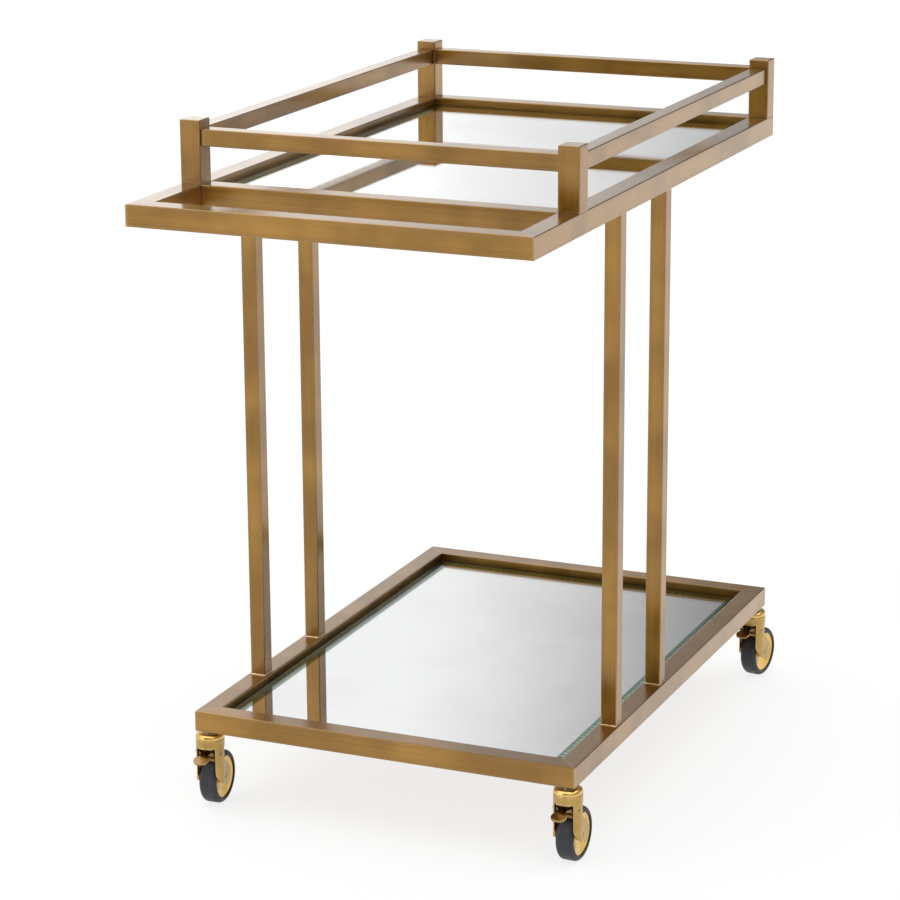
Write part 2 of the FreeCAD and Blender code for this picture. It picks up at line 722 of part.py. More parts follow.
def tyre(label):
    """Rubber tyre with rounded shoulders, stretched over the hub."""
    half = "tyre_width / 2"
    seat_radius = "rim_radius + tyre_play"
    body = across(label, [
        ("-" + half, seat_radius), (half, seat_radius), (half, "wheel_radius"),
        ("-" + half, "wheel_radius"),
    ])
    crown = value("wheel_radius")

    def shoulder(edge):
        return isinstance(edge.Curve, Part.Circle) and abs(edge.Curve.Radius - crown) < SAME
    round_edges(body, "tyre_round", shoulder)
    return body


# the brake lobe points this far short of the wheel, and meets it at full travel
TO_WHEEL_Y = "(trail + pivot_forward)"
TO_WHEEL_Z = "(axle_drop - pivot_drop)"
TO_WHEEL = "sqrt(" + TO_WHEEL_Y + " ^ 2 + " + TO_WHEEL_Z + " ^ 2)"
LOBE_REACH = "(" + TO_WHEEL + " - wheel_radius - brake_gap - lobe_radius)"
LOBE_ANGLE = "(atan2(" + TO_WHEEL_Y + "; " + TO_WHEEL_Z + ") - brake_travel * 1deg)"


def tab_plan(label):
    """The tab seen from above: rounded at the tip, with a scoop in each side."""
    body = new_body(label)
    plan = new_sketch(body, "XY_Plane", "plan", {"z": "-tab_tip_drop - tab_sheet"})
    add_rectangle(plan, "-lever_width / 2", "lever_width / 2", "-tab_reach", "-pivot_forward")
    pad(body, plan, "tab_tip_drop")
    tip = value("-tab_reach")
    upright = runs_along(Vector(0, 0, 1))
    round_edges(body, "tab_corner",
                lambda edge: upright(edge) and abs(edge.CenterOfMass.y - tip) < SAME)
    scoops = new_sketch(body, "XY_Plane", "scoops")
    for sign in ("", "-"):
        side = sign + "(tab_neck / 2 + scoop_radius)"
        add_circle(scoops, side, "-scoop_forward", "scoop_radius")
    cut_through(body, scoops)
    return body


def tab_side(label):
    """The tab seen from the side: it leaves the barrel, and bends down at the knee."""
    body = new_body(label)
    profile = new_sketch(body, "YZ_Plane", "profile")
    add_outline(profile, [
        ("-pivot_forward", "-pivot_drop"), ("-tab_knee", "-tab_knee_drop"),
        ("-tab_reach", "-tab_tip_drop"), ("-tab_reach", "-tab_tip_drop + tab_sheet"),
        ("-tab_knee", "-tab_knee_drop + tab_sheet"),
        ("-pivot_forward", "-pivot_drop + barrel_radius"),
    ])
    pad(body, profile, PAST_FORK, SideType="Symmetric")
    return body


def lever_rounds(label):
    """Barrel, brake lobe and the two trunnions, all along the wheel's axis."""
    lobe_y = "(-pivot_forward + " + LOBE_REACH + " * sin(" + LOBE_ANGLE + "))"
    lobe_z = "(-pivot_drop - " + LOBE_REACH + " * cos(" + LOBE_ANGLE + "))"
    hood_side = "sqrt(head_radius ^ 2 - pivot_forward ^ 2)"
    trunnions = "2 * (" + hood_side + " - turning_gap)"
    body = new_body(label)
    for name, y_text, z_text, radius, length in (
        ("barrel", "-pivot_forward", "-pivot_drop", "barrel_radius", "lever_width"),
        ("lobe", lobe_y, lobe_z, "lobe_radius", "lever_width"),
        ("trunnion", "-pivot_forward", "-pivot_drop", "pivot_radius", trunnions),
    ):
        circle = new_sketch(body, "YZ_Plane", name)
        add_circle(circle, y_text, z_text, radius)
        pad(body, circle, length, SideType="Symmetric")
    return body


def brake_lever(label):
    """Cast lever: a tab through the fork window, and a lobe that it turns on to the tyre."""
    tab = common("lever_tab", tab_plan("tab_plan"), tab_side("tab_side"))
    return union(label, tab, lever_rounds("lever_rounds"))


def casters():
    """Four alike casters; each stands turned about its stem by its own angle."""
    makers = {
        "stem": caster_stem, "dome_cap": dome_cap, "swivel_bush": swivel_bush, "fork": fork,
        "axle": wheel_axle, "wheel_hub": wheel_hub, "tyre": tyre, "brake_lever": brake_lever,
    }
    front = "(lower_front + stem_inset)"
    back = "(" + LOWER_BACK + " - stem_inset)"
    side_x = "(" + HALF_WIDTH + " - stem_inset)"
    corners = [
        ("front_left", "-", front, "front_left_turn"), ("front_right", "", front, "front_right_turn"),
        ("back_left", "-", back, "back_toe_out"), ("back_right", "", back, "-back_toe_out"),
    ]
    pieces = []
    for corner, sign, y_text, turned_by in corners:
        for name, make in makers.items():
            piece = make(name + "_" + corner)
            seat(piece, sign + side_x, y_text, "caster_height", turned_by)
            pieces.append(piece)
    return pieces


# ---- build, check and write ------------------------------------------------------------------

pieces = top_frame() + lower_frame() + gallery() + columns() + shelves() + casters()
doc.recompute()

faults = []
for thing in doc.Objects:
    if "Invalid" in thing.State or "Error" in thing.State:
        faults.append(thing.Label + " " + ", ".join(thing.State))
for piece in pieces:
    if piece.Shape.isNull() or not piece.Shape.isValid() or not piece.Shape.Solids:
        faults.append(piece.Label + " has no valid solid")
if len({piece.Label for piece in pieces}) != len(pieces):
    faults.append("two pieces share a name")
if faults:
    raise RuntimeError("; ".join(faults))

os.makedirs("parts", exist_ok=True)
for piece in pieces:
    piece.Shape.exportStep("parts/" + piece.Label + ".step")
    print("%-28s %9.1f mm3" % (piece.Label, piece.Shape.Volume))
print(len(pieces), "pieces")
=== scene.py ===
import math
import bmesh
import bpy
from mathutils import Matrix, Vector, noise


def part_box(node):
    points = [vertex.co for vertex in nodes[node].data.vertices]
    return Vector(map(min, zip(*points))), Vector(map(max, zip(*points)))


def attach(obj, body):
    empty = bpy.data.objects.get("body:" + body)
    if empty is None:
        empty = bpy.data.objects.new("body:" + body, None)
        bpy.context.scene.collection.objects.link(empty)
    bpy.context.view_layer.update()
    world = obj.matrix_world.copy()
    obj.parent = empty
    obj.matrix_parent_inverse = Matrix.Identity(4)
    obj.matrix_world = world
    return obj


# dessert trolley in brushed brass with two bevelled mirror shelves
# metres, +Z up, push handle towards -Y, +X to the right of someone facing the handle
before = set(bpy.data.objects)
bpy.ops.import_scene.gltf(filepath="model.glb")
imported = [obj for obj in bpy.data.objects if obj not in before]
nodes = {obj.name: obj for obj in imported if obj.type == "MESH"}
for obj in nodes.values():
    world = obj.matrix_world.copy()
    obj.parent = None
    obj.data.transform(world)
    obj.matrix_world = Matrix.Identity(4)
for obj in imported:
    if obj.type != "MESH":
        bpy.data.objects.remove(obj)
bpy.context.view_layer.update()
shelves = ["top", "lower"]
corners = ["front_left", "front_right", "back_left", "back_right"]
smooth = {"interpolation_type": "SMOOTHSTEP"}
blend = {"data_type": "RGBA"}
print("loaded", len(nodes), "nodes")


def toLinear(hexColour):
    channels = [int(hexColour[i:i + 2], 16) / 255 for i in (1, 3, 5)]
    return [c / 12.92 if c <= 0.04045 else ((c + 0.055) / 1.055) ** 2.4 for c in channels] + [1]


# inputs is a dictionary, or a list in the order of the node's own sockets
# a Map Range lists its value, the range that comes in and the range that goes out
def addNode(tree, kind, settings=None, inputs=None):
    node = tree.nodes.new(kind)
    for name, setting in (settings or {}).items():
        setattr(node, name, setting)
    for name, given in (dict(enumerate(inputs)) if isinstance(inputs, list) else inputs or {}).items():
        if isinstance(given, bpy.types.NodeSocket):
            tree.links.new(given, node.inputs[name])
        else:
            node.inputs[name].default_value = given
    return node


def newMaterial(name):
    material = bpy.data.materials.new(name)
    material.use_nodes = True
    material.node_tree.nodes.clear()
    return material, material.node_tree


def cornerAgreement(tree, radius, samples):
    # a widely rounded normal leaves the true one near a corner, and most at the corner itself
    rounded = addNode(tree, "ShaderNodeBevel", {"samples": samples}, {"Radius": radius}).outputs[0]
    flat = addNode(tree, "ShaderNodeNewGeometry").outputs["Normal"]
    agree = addNode(tree, "ShaderNodeVectorMath", {"operation": "DOT_PRODUCT"}, [rounded, flat]).outputs["Value"]
    return rounded, agree


# lacquered brass, brushed along each tube: satin, drawn out sideways, with a pale gloss at low angles
tubeBrass = {
    "fresh": "#B08338",
    "deep": "#835D1C",
    "aged": "#5C4013",              # the lacquer has let air in along the corners, and the brass browned there
    "worn": "#C8A468",              # the corner itself is rubbed bright by hands and cloths
    "paintedJointShade": "#4A3718",             # painted shade, darker where one tube meets another
    "stroke": 0.0012,               # real strokes are 0.1 to 0.2 mm, drawn coarser so that they show
    "strokeLength": 0.30,
    "strokeRange": (0.25, 0.75),
    "strokeShare": 0.34,            # how much of the tone comes from the strokes
    "strokeDepth": 0.00005,
    "cloud": 0.09,                  # slow change of tone along a tube
    "cloudRange": (0.35, 0.65),
    "cloudShare": 0.62,
    "corner": 0.0065,               # how far in the browning reaches
    "patinaAt": (0.998, 0.84),      # where the browning starts and is full; 1 is a flat
    "patina": 0.72,
    "wearAt": (0.79, 0.72),
    "wear": 0.7,
    # painted shade in the joints: how far out it looks, where it starts and is full, and how strong it is
    "paintedShadeReach": 0.0035,
    "paintedShadeAt": (0.85, 0.35),
    "paintedShadeShare": 0.75,
    "roughness": 0.36,
    "roughSpread": (-0.06, 0.06),
    "lacquer": 0.85,
    "lacquerRoughness": 0.14,
    "stretch": 0.5,                 # how far the brushing draws a highlight out
}


def brushedBrass(name, grain, look):
    material, tree = newMaterial(name)
    place = addNode(tree, "ShaderNodeTexCoord").outputs["Object"]
    lengths = [look["strokeLength"] if axis == grain else look["stroke"] for axis in range(3)]
    along = addNode(tree, "ShaderNodeMapping", inputs={"Vector": place, "Scale": [1 / size for size in lengths]})
    strokes = addNode(tree, "ShaderNodeTexNoise", inputs={
        "Vector": along.outputs[0], "Scale": 1.0, "Detail": 3.0, "Roughness": 0.55}).outputs["Fac"]
    clouds = addNode(tree, "ShaderNodeTexNoise", inputs={
        "Vector": place, "Scale": 1 / look["cloud"], "Detail": 2.0, "Roughness": 0.5}).outputs["Fac"]
    strokeTone = addNode(tree, "ShaderNodeMapRange", smooth, [strokes, *look["strokeRange"], 0.0, 1.0])
    cloudTone = addNode(tree, "ShaderNodeMapRange", smooth, [clouds, *look["cloudRange"], 0.0, look["cloudShare"]])
    tone = addNode(tree, "ShaderNodeMath", {"operation": "MULTIPLY_ADD"},
                   [strokeTone.outputs[0], look["strokeShare"], cloudTone.outputs[0]])
    agree = cornerAgreement(tree, look["corner"], 6)[1]
    patina = addNode(tree, "ShaderNodeMapRange", smooth, [agree, *look["patinaAt"], 0.0, look["patina"]])
    wear = addNode(tree, "ShaderNodeMapRange", smooth, [agree, *look["wearAt"], 0.0, look["wear"]])
    # open surfaces give 1 here, and the corner where one tube meets another gives less
    openness = addNode(tree, "ShaderNodeAmbientOcclusion", {"samples": 6}, {"Distance": look["paintedShadeReach"]})
    # painted shade: the more closed in a spot is, the darker it is painted
    paintedJointShade = addNode(tree, "ShaderNodeMapRange", smooth, [
        openness.outputs["AO"], *look["paintedShadeAt"], 0.0, look["paintedShadeShare"]])
    colour = toLinear(look["deep"])
    for amount, over in ((tone, "fresh"), (patina, "aged"), (wear, "worn"), (paintedJointShade, "paintedJointShade")):
        mix = addNode(tree, "ShaderNodeMix", blend, {0: amount.outputs[0], 6: colour, 7: toLinear(look[over])})
        colour = mix.outputs[2]
    rough = addNode(tree, "ShaderNodeMapRange", smooth, [
        strokes, *look["strokeRange"], *[look["roughness"] + change for change in look["roughSpread"]]])
    relief = addNode(tree, "ShaderNodeBump", inputs={
        "Strength": 0.25, "Distance": look["strokeDepth"], "Height": strokes})
    grainLine = addNode(tree, "ShaderNodeCombineXYZ", inputs={grain: 1.0})
    tangent = addNode(tree, "ShaderNodeVectorTransform", {
        "vector_type": "VECTOR", "convert_from": "OBJECT", "convert_to": "WORLD"}, {0: grainLine.outputs[0]})
    shader = addNode(tree, "ShaderNodeBsdfPrincipled", inputs={
        "Base Color": colour, "Metallic": 1.0, "Roughness": rough.outputs[0], "Normal": relief.outputs[0],
        "Anisotropic": look["stretch"], "Anisotropic Rotation": 0.25, "Tangent": tangent.outputs[0],
        "Coat Weight": look["lacquer"], "Coat Roughness": look["lacquerRoughness"]})
    addNode(tree, "ShaderNodeOutputMaterial", inputs={"Surface": shader.outputs[0]})
    return material


# pressed and polished caster brass: brighter than the tubes, with fine marks of the polishing wheel
casterBrass = {
    "fork": {"light": "#C2A05A", "dark": "#A07F3E", "roughness": 0.32, "lacquer": 0.5},
    "cap": {"light": "#EBC878", "dark": "#CBA04C", "roughness": 0.29, "lacquer": 0.5},
    "hub": {"light": "#E8C067", "dark": "#BE9038", "roughness": 0.20, "lacquer": 0.4},
    "lever": {"light": "#9C7A40", "dark": "#66491C", "roughness": 0.24, "lacquer": 0.5},
    "bright": "#FFE2A0",            # polished through on the corners
    "corner": 0.0007,
    "wearAt": (0.995, 0.88),
    "wear": 0.8,
    "scratch": 0.0005,              # polishing marks, drawn coarser than the real 0.05 mm
    "scratchLength": 0.016,
    "scratchShare": 0.3,            # how much of the tone comes from the marks
    "scratchDepth": 0.00003,
    "patch": 0.030,                 # slow change of tone
    "patchShare": (0.15, 0.7),
    "roughSpread": (-0.04, 0.05),
    "lacquerRoughness": 0.1,
}


def polishedBrass(name, look, stretchAxis):
    material, tree = newMaterial(name)
    place = addNode(tree, "ShaderNodeTexCoord").outputs["Object"]
    lengths = [casterBrass["scratchLength"] if axis == stretchAxis else casterBrass["scratch"] for axis in range(3)]
    along = addNode(tree, "ShaderNodeMapping", inputs={"Vector": place, "Scale": [1 / size for size in lengths]})
    marks = addNode(tree, "ShaderNodeTexNoise", inputs={
        "Vector": along.outputs[0], "Scale": 1.0, "Detail": 2.0}).outputs["Fac"]
    patches = addNode(tree, "ShaderNodeTexNoise", inputs={
        "Vector": place, "Scale": 1 / casterBrass["patch"], "Detail": 2.0}).outputs["Fac"]
    markTone = addNode(tree, "ShaderNodeMapRange", smooth, [marks, 0.3, 0.7, 0.0, 1.0])
    patchTone = addNode(tree, "ShaderNodeMapRange", smooth, [patches, 0.35, 0.65, *casterBrass["patchShare"]])
    tone = addNode(tree, "ShaderNodeMath", {"operation": "MULTIPLY_ADD"},
                   [markTone.outputs[0], casterBrass["scratchShare"], patchTone.outputs[0]])
    brass = addNode(tree, "ShaderNodeMix", blend, {
        0: tone.outputs[0], 6: toLinear(look["dark"]), 7: toLinear(look["light"])})
    rounded, agree = cornerAgreement(tree, casterBrass["corner"], 4)
    wear = addNode(tree, "ShaderNodeMapRange", smooth, [agree, *casterBrass["wearAt"], 0.0, casterBrass["wear"]])
    colour = addNode(tree, "ShaderNodeMix", blend, {
        0: wear.outputs[0], 6: brass.outputs[2], 7: toLinear(casterBrass["bright"])})
    rough = addNode(tree, "ShaderNodeMapRange", smooth, [
        marks, 0.25, 0.75, *[look["roughness"] + change for change in casterBrass["roughSpread"]]])
    relief = addNode(tree, "ShaderNodeBump", inputs={
        "Strength": 0.2, "Distance": casterBrass["scratchDepth"], "Height": marks, "Normal": rounded})
    shader = addNode(tree, "ShaderNodeBsdfPrincipled", inputs={
        "Base Color": colour.outputs[2], "Metallic": 1.0, "Roughness": rough.outputs[0],
        "Normal": relief.outputs[0],
        "Coat Weight": look["lacquer"], "Coat Roughness": casterBrass["lacquerRoughness"]})
    addNode(tree, "ShaderNodeOutputMaterial", inputs={"Surface": shader.outputs[0]})
    return material


# 5 mm float glass, clear and neutral, with a ground and polished bevel that shows the grinding wheel's ripple
floatGlass = {
    "tint": "#FEFEFE",
    "edgeTint": "#F4FBF7",
    "cut": 0.010,                   # width of the bevel
    "cutSoftness": 0.0015,
    "tooth": 0.0094,                # ripple along the bevel, 8.6 to 9.9 mm in the photograph
    "wander": 3.0,                  # how unevenly the ripple runs, in radians
    "wanderPerMetre": 30.0,         # changes over about 33 mm
    "ripple": 0.00002,
    "haze": 0.006,
    "hazePerMetre": 18.0,           # in patches of about 56 mm
    "ior": 1.52,
}


def edgeOfPane(tree, shelf, coordinates):
    # how far in a spot lies from the nearest edge of the pane, and the wheel's ripple across that edge, -1 to 1
    low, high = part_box(shelf + "_mirror")
    span = addNode(tree, "ShaderNodeSeparateXYZ", inputs=[coordinates.outputs["Generated"]])
    fromMiddle, fromEdge = [], []
    for axis in range(2):
        size = high[axis] - low[axis]
        centred = addNode(tree, "ShaderNodeMath", {"operation": "SUBTRACT"}, [span.outputs[axis], 0.5])
        metres = addNode(tree, "ShaderNodeMath", {"operation": "MULTIPLY"}, [centred.outputs[0], size])
        distance = addNode(tree, "ShaderNodeMath", {"operation": "ABSOLUTE"}, [metres.outputs[0]])
        left = addNode(tree, "ShaderNodeMath", {"operation": "SUBTRACT"}, [size / 2, distance.outputs[0]])
        fromMiddle.append(metres.outputs[0])
        fromEdge.append(left.outputs[0])
    # the ripple is counted along y at the two sides, and along x at the two ends
    nearSide = addNode(tree, "ShaderNodeMath", {"operation": "LESS_THAN"}, fromEdge)
    change = addNode(tree, "ShaderNodeMath", {"operation": "SUBTRACT"}, [fromMiddle[1], fromMiddle[0]])
    run = addNode(tree, "ShaderNodeMath", {"operation": "MULTIPLY_ADD"},
                  [nearSide.outputs[0], change.outputs[0], fromMiddle[0]])
    wobble = addNode(tree, "ShaderNodeTexNoise", inputs={
        "Vector": coordinates.outputs["Object"], "Scale": floatGlass["wanderPerMetre"], "Detail": 1.0})
    shift = addNode(tree, "ShaderNodeMath", {"operation": "MULTIPLY"}, [wobble.outputs["Fac"], floatGlass["wander"]])
    turn = addNode(tree, "ShaderNodeMath", {"operation": "MULTIPLY_ADD"},
                   [run.outputs[0], math.tau / floatGlass["tooth"], shift.outputs[0]])
    inset = addNode(tree, "ShaderNodeMath", {"operation": "MINIMUM"}, fromEdge)
    teeth = addNode(tree, "ShaderNodeMath", {"operation": "SINE"}, [turn.outputs[0]])
    return inset.outputs[0], teeth.outputs[0]


def bevelledGlass(shelf):
    material, tree = newMaterial("floatGlassGroundBevel_" + shelf)
    coordinates = addNode(tree, "ShaderNodeTexCoord")
    inset, teeth = edgeOfPane(tree, shelf, coordinates)
    onBevel = addNode(tree, "ShaderNodeMapRange", smooth, [
        inset, floatGlass["cut"], floatGlass["cut"] - floatGlass["cutSoftness"], 0.0, 1.0]).outputs[0]
    height = addNode(tree, "ShaderNodeMath", {"operation": "MULTIPLY"}, [teeth, onBevel])
    relief = addNode(tree, "ShaderNodeBump", inputs={
        "Strength": 1.0, "Distance": floatGlass["ripple"], "Height": height.outputs[0]})
    haze = addNode(tree, "ShaderNodeTexNoise", inputs={
        "Vector": coordinates.outputs["Object"], "Scale": floatGlass["hazePerMetre"], "Detail": 4.0})
    rough = addNode(tree, "ShaderNodeMapRange", smooth, [haze.outputs["Fac"], 0.55, 0.8, 0.0, floatGlass["haze"]])
    tint = addNode(tree, "ShaderNodeMix", blend, {
        0: onBevel, 6: toLinear(floatGlass["tint"]), 7: toLinear(floatGlass["edgeTint"])})
    shader = addNode(tree, "ShaderNodeBsdfPrincipled", inputs={
        "Base Color": tint.outputs[2], "Metallic": 0.0, "Roughness": rough.outputs[0], "IOR": floatGlass["ior"],
        "Transmission Weight": 1.0, "Normal": relief.outputs[0]})
    addNode(tree, "ShaderNodeOutputMaterial", inputs={"Surface": shader.outputs[0]})
    return material


# silver laid on the back of the glass: an almost perfect mirror; under the ground edge the light has gone
# a longer way through the glass and comes back green, and the fine lighter and darker ticks there are a painted
# reflection of the rippled bevel
silvering = {
    "clear": "#F6F7F7",
    "thin": "#F0F1F0",
    "thinPerMetre": 7.0,            # thinner and fuller silver, in patches of about 143 mm
    "green": "#93AC9C",
    "deepGreen": "#587766",
    "ground": 0.015,                # how far in the green reaches
    "groundSoftness": 0.0004,
    "haze": 0.008,
    "inset": 0.0004,                # from the edge of the pane to the edge of the silver
    "above": 0.00004,               # from the back of the pane up to the silver
    "squares": (6, 9),
}


def silverCoat(shelf):
    material, tree = newMaterial("silverBackedMirror_" + shelf)
    coordinates = addNode(tree, "ShaderNodeTexCoord")
    inset, teeth = edgeOfPane(tree, shelf, coordinates)
    clouds = addNode(tree, "ShaderNodeTexNoise", inputs={
        "Vector": coordinates.outputs["Object"], "Scale": silvering["thinPerMetre"], "Detail": 3.0}).outputs["Fac"]
    thinning = addNode(tree, "ShaderNodeMapRange", smooth, [clouds, 0.4, 0.75, 0.0, 1.0])
    plain = addNode(tree, "ShaderNodeMix", blend, {
        0: thinning.outputs[0], 6: toLinear(silvering["clear"]), 7: toLinear(silvering["thin"])})
    # painted reflection: the bevel's ripple drawn as lighter and darker green on the silver
    ticks = addNode(tree, "ShaderNodeMapRange", smooth, [teeth, -0.8, 0.8, 0.0, 1.0])
    green = addNode(tree, "ShaderNodeMix", blend, {
        0: ticks.outputs[0], 6: toLinear(silvering["deepGreen"]), 7: toLinear(silvering["green"])})
    edge, soft = silvering["ground"], silvering["groundSoftness"]
    onGround = addNode(tree, "ShaderNodeMapRange", smooth, [inset, edge + soft, edge - soft, 0.0, 1.0])
    colour = addNode(tree, "ShaderNodeMix", blend, {0: onGround.outputs[0], 6: plain.outputs[2], 7: green.outputs[2]})
    rough = addNode(tree, "ShaderNodeMapRange", smooth, [clouds, 0.5, 0.9, 0.0, silvering["haze"]])
    shader = addNode(tree, "ShaderNodeBsdfPrincipled", inputs={
        "Base Color": colour.outputs[2], "Metallic": 1.0, "Roughness": rough.outputs[0]})
    addNode(tree, "ShaderNodeOutputMaterial", inputs={"Surface": shader.outputs[0]})
    return material


# moulded grey rubber: dull, with a slight dusty bloom
tyreRubber = {
    "rubber": "#222428",
    "bloom": "#313438",
    "bloomPerMetre": 85.0,          # patches of about 12 mm
    "pore": 0.0009,                 # drawn coarser than real pores, so that they show
    "poreDepth": 0.00008,
    "roughness": 0.50,
    "roughSpread": (-0.06, 0.1),
    "ior": 1.52,
}


def mouldedRubber():
    material, tree = newMaterial("rubberMoulded")
    place = addNode(tree, "ShaderNodeTexCoord").outputs["Object"]
    pores = addNode(tree, "ShaderNodeTexNoise", inputs={
        "Vector": place, "Scale": 1 / tyreRubber["pore"], "Detail": 2.0})
    bloom = addNode(tree, "ShaderNodeTexNoise", inputs={
        "Vector": place, "Scale": tyreRubber["bloomPerMetre"], "Detail": 4.0}).outputs["Fac"]
    dust = addNode(tree, "ShaderNodeMapRange", smooth, [bloom, 0.4, 0.72, 0.0, 1.0])
    colour = addNode(tree, "ShaderNodeMix", blend, {
        0: dust.outputs[0], 6: toLinear(tyreRubber["rubber"]), 7: toLinear(tyreRubber["bloom"])})
    relief = addNode(tree, "ShaderNodeBump", inputs={
        "Strength": 0.25, "Distance": tyreRubber["poreDepth"], "Height": pores.outputs["Fac"]})
    rough = addNode(tree, "ShaderNodeMapRange", smooth, [
        bloom, 0.3, 0.7, *[tyreRubber["roughness"] + change for change in tyreRubber["roughSpread"]]])
    shader = addNode(tree, "ShaderNodeBsdfPrincipled", inputs={
        "Base Color": colour.outputs[2], "Roughness": rough.outputs[0], "IOR": tyreRubber["ior"],
        "Normal": relief.outputs[0]})
    addNode(tree, "ShaderNodeOutputMaterial", inputs={"Surface": shader.outputs[0]})
    return material


# zinc plated turned steel: cool grey with faint turning rings
zincPlate = {
    "light": "#D8DADB",
    "dark": "#A9ADB0",
    "ring": 0.0006,                 # drawn coarser than real turning rings, so that they show
    "ringDepth": 0.00005,
    "acrossPerMetre": 60.0,         # each ring stays even for about 17 mm
    "roughness": 0.28,
    "roughSpread": (-0.05, 0.08),
}


def platedSteel():
    material, tree = newMaterial("steelZincPlated")
    place = addNode(tree, "ShaderNodeTexCoord").outputs["Object"]
    across = zincPlate["acrossPerMetre"]
    squash = addNode(tree, "ShaderNodeMapping", inputs={
        "Vector": place, "Scale": (across, across, 1 / zincPlate["ring"])})
    rings = addNode(tree, "ShaderNodeTexNoise", inputs={
        "Vector": squash.outputs[0], "Scale": 1.0, "Detail": 2.0}).outputs["Fac"]
    tone = addNode(tree, "ShaderNodeMapRange", smooth, [rings, 0.3, 0.7, 0.0, 1.0])
    colour = addNode(tree, "ShaderNodeMix", blend, {
        0: tone.outputs[0], 6: toLinear(zincPlate["dark"]), 7: toLinear(zincPlate["light"])})
    relief = addNode(tree, "ShaderNodeBump", inputs={
        "Strength": 0.3, "Distance": zincPlate["ringDepth"], "Height": rings})
    rough = addNode(tree, "ShaderNodeMapRange", smooth, [
        rings, 0.3, 0.7, *[zincPlate["roughness"] + change for change in zincPlate["roughSpread"]]])
    shader = addNode(tree, "ShaderNodeBsdfPrincipled", inputs={
        "Base Color": colour.outputs[2], "Metallic": 1.0, "Normal": relief.outputs[0],
        "Roughness": rough.outputs[0]})
    addNode(tree, "ShaderNodeOutputMaterial", inputs={"Surface": shader.outputs[0]})
    return material


# natural nylon, moulded: milky and faintly clouded
naturalNylon = {
    "body": "#DEDACE",
    "shade": "#C9C4B4",
    "flowPerMetre": 220.0,          # clouds of about 4.5 mm
    "roughness": 0.48,
    "roughSpread": (-0.06, 0.06),
    "ior": 1.53,
}


def mouldedNylon():
    material, tree = newMaterial("nylonMoulded")
    place = addNode(tree, "ShaderNodeTexCoord").outputs["Object"]
    flow = addNode(tree, "ShaderNodeTexNoise", inputs={
        "Vector": place, "Scale": naturalNylon["flowPerMetre"], "Detail": 3.0}).outputs["Fac"]
    colour = addNode(tree, "ShaderNodeMix", blend, {
        0: flow, 6: toLinear(naturalNylon["shade"]), 7: toLinear(naturalNylon["body"])})
    rough = addNode(tree, "ShaderNodeMapRange", smooth, [
        flow, 0.3, 0.7, *[naturalNylon["roughness"] + change for change in naturalNylon["roughSpread"]]])
    shader = addNode(tree, "ShaderNodeBsdfPrincipled", inputs={
        "Base Color": colour.outputs[2], "IOR": naturalNylon["ior"], "Roughness": rough.outputs[0]})
    addNode(tree, "ShaderNodeOutputMaterial", inputs={"Surface": shader.outputs[0]})
    return material


tubeGrain = [brushedBrass("brassBrushed" + way, axis, tubeBrass)
             for axis, way in enumerate(("Across", "Along", "Upright"))]
panelBrass = brushedBrass("brassRolledSheet", 1, dict(tubeBrass, roughness=0.48, lacquer=0.2, stroke=0.0018))
rubber, steel, nylon = mouldedRubber(), platedSteel(), mouldedNylon()
forkBrass = polishedBrass("brassPressedFork", casterBrass["fork"], 2)
capBrass = polishedBrass("brassSpunCap", casterBrass["cap"], 0)
hubBrass = polishedBrass("brassTurnedHub", casterBrass["hub"], 0)
leverBrass = polishedBrass("brassCastLever", casterBrass["lever"], 1)
print("materials made")


def dress(name, material):
    node = nodes[name]
    if not node.material_slots:
        node.data.materials.append(material)
    for slot in node.material_slots:
        slot.material = material


# the brushing runs along each tube: 0 across the trolley, 1 along it, 2 upright
grainOf = {
    0: ["handle_bar", "top_back_bar", "cross_bar", "lower_front_bar", "lower_back_bar", "rail_front", "rail_back"],
    1: ["top_side_tube_left", "top_side_tube_right", "lower_side_tube_left", "lower_side_tube_right",
        "rail_left", "rail_right"],
    2: [kind + "_" + row + "_" + side for kind in ("post", "column") for row in ("front", "back")
        for side in ("left", "right")],
}
casterFinish = {
    "stem": steel, "dome_cap": capBrass, "swivel_bush": nylon, "fork": forkBrass,
    "axle": forkBrass, "wheel_hub": hubBrass, "tyre": rubber, "brake_lever": leverBrass,
}
for axis, names in grainOf.items():
    for name in names:
        dress(name, tubeGrain[axis])
for shelf in shelves:
    dress(shelf + "_panel", panelBrass)
    dress(shelf + "_mirror", bevelledGlass(shelf))
for corner in corners:
    for kind, material in casterFinish.items():
        dress(kind + "_" + corner, material)
print("frame dressed")


def newPiece(name, mesh, material, body):
    piece = bpy.data.objects.new(name, mesh)
    bpy.context.collection.objects.link(piece)
    mesh.materials.append(material)
    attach(piece, body)
    return piece


def silverSheet(shelf):
    # the silver lies just inside the back of the pane, so that the glass stands over it
    low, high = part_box(shelf + "_mirror")
    inset, z = silvering["inset"], low[2] + silvering["above"]
    columns, rows = silvering["squares"]
    build = bmesh.new()
    grid = []
    for row in range(rows + 1):
        y = low[1] + inset + (high[1] - low[1] - 2 * inset) * row / rows
        grid.append([build.verts.new((low[0] + inset + (high[0] - low[0] - 2 * inset) * column / columns, y, z))
                     for column in range(columns + 1)])
    for near, far in zip(grid, grid[1:]):
        for column in range(columns):
            build.faces.new((near[column], near[column + 1], far[column + 1], far[column]))
    mesh = bpy.data.meshes.new(shelf + "_silvering")
    build.to_mesh(mesh)
    build.free()
    return newPiece(shelf + "_silvering", mesh, silverCoat(shelf), "frame")


for shelf in shelves:
    silverSheet(shelf)


# brazed joint at each end of a column: a thin fillet, a little uneven, pale partly from the paler filler and partly
# as a painted highlight along the joint
brazing = {
    "size": 0.0011,
    "step": 0.0012,                 # spacing of its points round the column
    "bends": 3,
    "uneven": 0.22,
    "lumpsPerMetre": 420,           # lumps of about 2.4 mm
    # the pale colours are partly the filler's own and partly a painted highlight
    "light": "#E3D2AC",
    "dark": "#B4975F",
    "beadsPerMetre": 700.0,         # beads of about 1.4 mm
}


